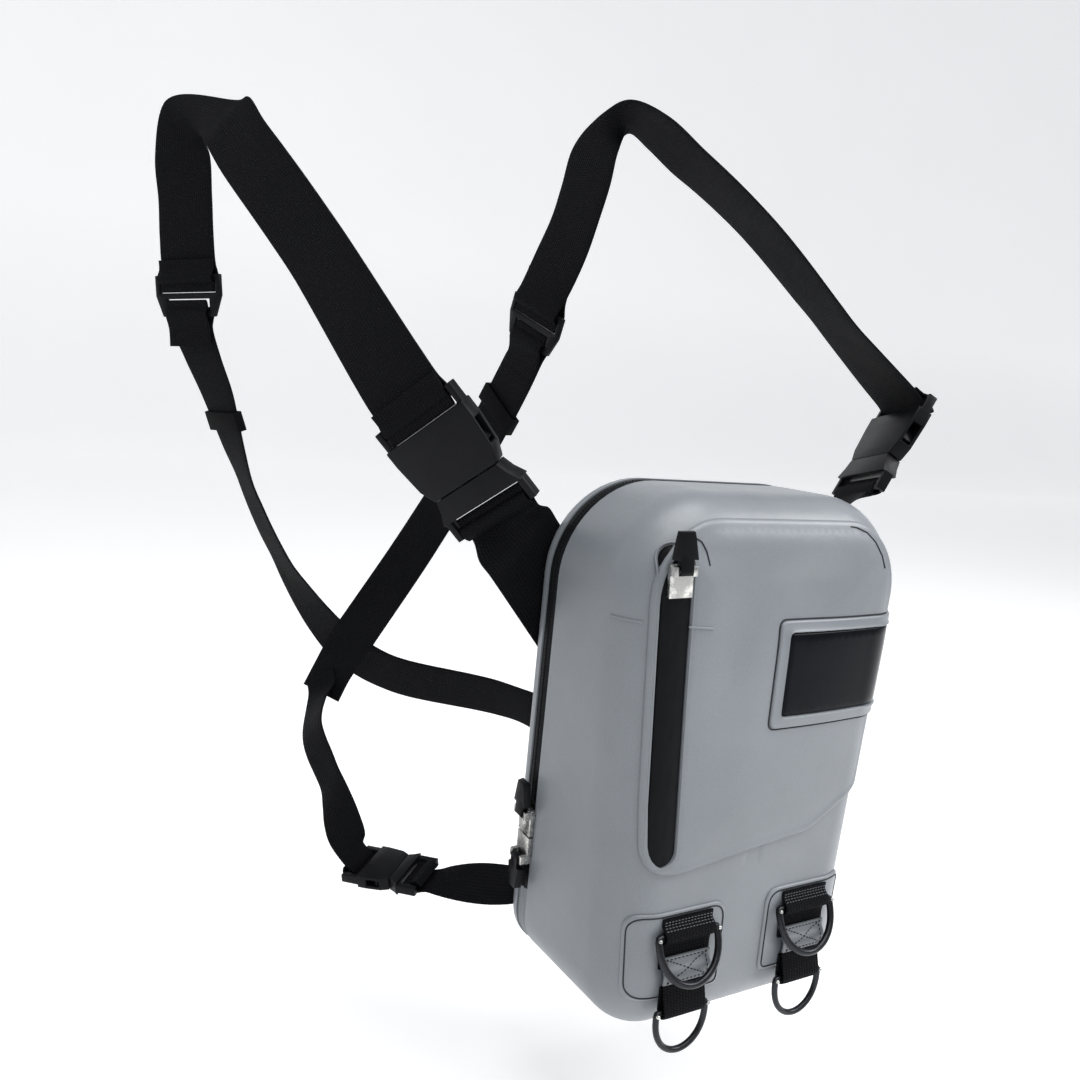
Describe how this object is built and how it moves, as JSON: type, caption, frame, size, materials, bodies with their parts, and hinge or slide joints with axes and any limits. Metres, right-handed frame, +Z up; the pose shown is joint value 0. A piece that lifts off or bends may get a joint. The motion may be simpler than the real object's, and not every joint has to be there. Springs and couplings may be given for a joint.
{
  "type": "fishing tackle sling bag",
  "caption": "Waterproof hard-fronted tackle bag on a crossed webbing harness, with airtight zips, a window, hanging rings and side-release buckles.",
  "frame": {"origin": "midway between the two places where the shoulder straps cross over the wearer's shoulders", "axes": "+Z up, -Y towards the bag's front, +X to the right of someone who looks at the bag's front"},
  "size_m": [0.4742, 0.406, 0.5197],
  "materials": {
    "coated_fabric": "satin",
    "zip_rubber": "satin",
    "coated_fabric_dark": "satin",
    "window_sheet": "gloss",
    "webbing": "matte",
    "gunmetal": "gloss",
    "slider_metal": "gloss",
    "nylon": "satin"
  },
  "bodies": {
    "bag_and_harness": {"front_shell": "coated_fabric", "back_shell": "coated_fabric", "main_zip": "zip_rubber", "bottom_seam": "coated_fabric_dark", "front_pocket": "coated_fabric", "front_zip": "zip_rubber", "window_frame": "coated_fabric", "window_sheet": "window_sheet", "left_patch": "coated_fabric", "right_patch": "coated_fabric", "left_upper_webbing": "webbing", "left_lower_webbing": "webbing", "left_tab": "coated_fabric_dark", "right_upper_webbing": "webbing", "right_lower_webbing": "webbing", "right_tab": "coated_fabric_dark", "front_slider": "slider_metal", "upper_main_slider": "slider_metal", "lower_main_slider": "slider_metal", "left_socket": "nylon", "left_plug": "nylon", "left_adjuster": "nylon", "left_anchor": "webbing", "left_shoulder_strap": "webbing", "left_back_strap": "webbing", "left_keeper": "webbing", "right_socket": "nylon", "right_plug": "nylon", "right_adjuster": "nylon", "right_anchor": "webbing", "right_shoulder_strap": "webbing", "right_back_strap": "webbing", "right_keeper": "webbing", "lower_socket": "nylon", "lower_plug": "nylon", "lower_strap": "webbing", "lower_anchor": "webbing"},
    "left_upper_ring": {"left_upper_ring": "gunmetal"},
    "right_upper_ring": {"right_upper_ring": "gunmetal"},
    "left_lower_ring": {"left_lower_ring": "gunmetal"},
    "right_lower_ring": {"right_lower_ring": "gunmetal"},
    "front_pull": {"front_pull": "nylon"},
    "upper_main_pull": {"upper_main_pull": "nylon"},
    "lower_main_pull": {"lower_main_pull": "nylon"}
  },
  "joints": [
    {"name": "left_upper_ring_swing", "type": "hinge", "parent": "bag_and_harness", "child": "left_upper_ring", "pos_m": [0.108, -0.2358, -0.446], "axis": [-1, 0, 0], "range_deg": [-3, 125]},
    {"name": "right_upper_ring_swing", "type": "hinge", "parent": "bag_and_harness", "child": "right_upper_ring", "pos_m": [0.194, -0.2358, -0.446], "axis": [-1, 0, 0], "range_deg": [-3, 125]},
    {"name": "left_lower_ring_swing", "type": "hinge", "parent": "bag_and_harness", "child": "left_lower_ring", "pos_m": [0.108, -0.23755, -0.489], "axis": [-1, 0, 0], "range_deg": [-10, 110]},
    {"name": "right_lower_ring_swing", "type": "hinge", "parent": "bag_and_harness", "child": "right_lower_ring", "pos_m": [0.194, -0.23755, -0.489], "axis": [-1, 0, 0], "range_deg": [-10, 110]},
    {"name": "front_pull_swing", "type": "hinge", "parent": "bag_and_harness", "child": "front_pull", "pos_m": [0.0747, -0.2393, -0.24801], "axis": [0.9859, -0.1549, 0.0641], "range_deg": [0, 170]},
    {"name": "upper_main_pull_swing", "type": "hinge", "parent": "bag_and_harness", "child": "upper_main_pull", "pos_m": [0.05575, -0.13861, -0.41195], "axis": [0.0068, -0.9944, -0.1053], "range_deg": [0, 120]},
    {"name": "lower_main_pull_swing", "type": "hinge", "parent": "bag_and_harness", "child": "lower_main_pull", "pos_m": [0.05763, -0.13553, -0.44087], "axis": [-0.0068, 0.9944, 0.1053], "range_deg": [0, 120]}
  ]
}
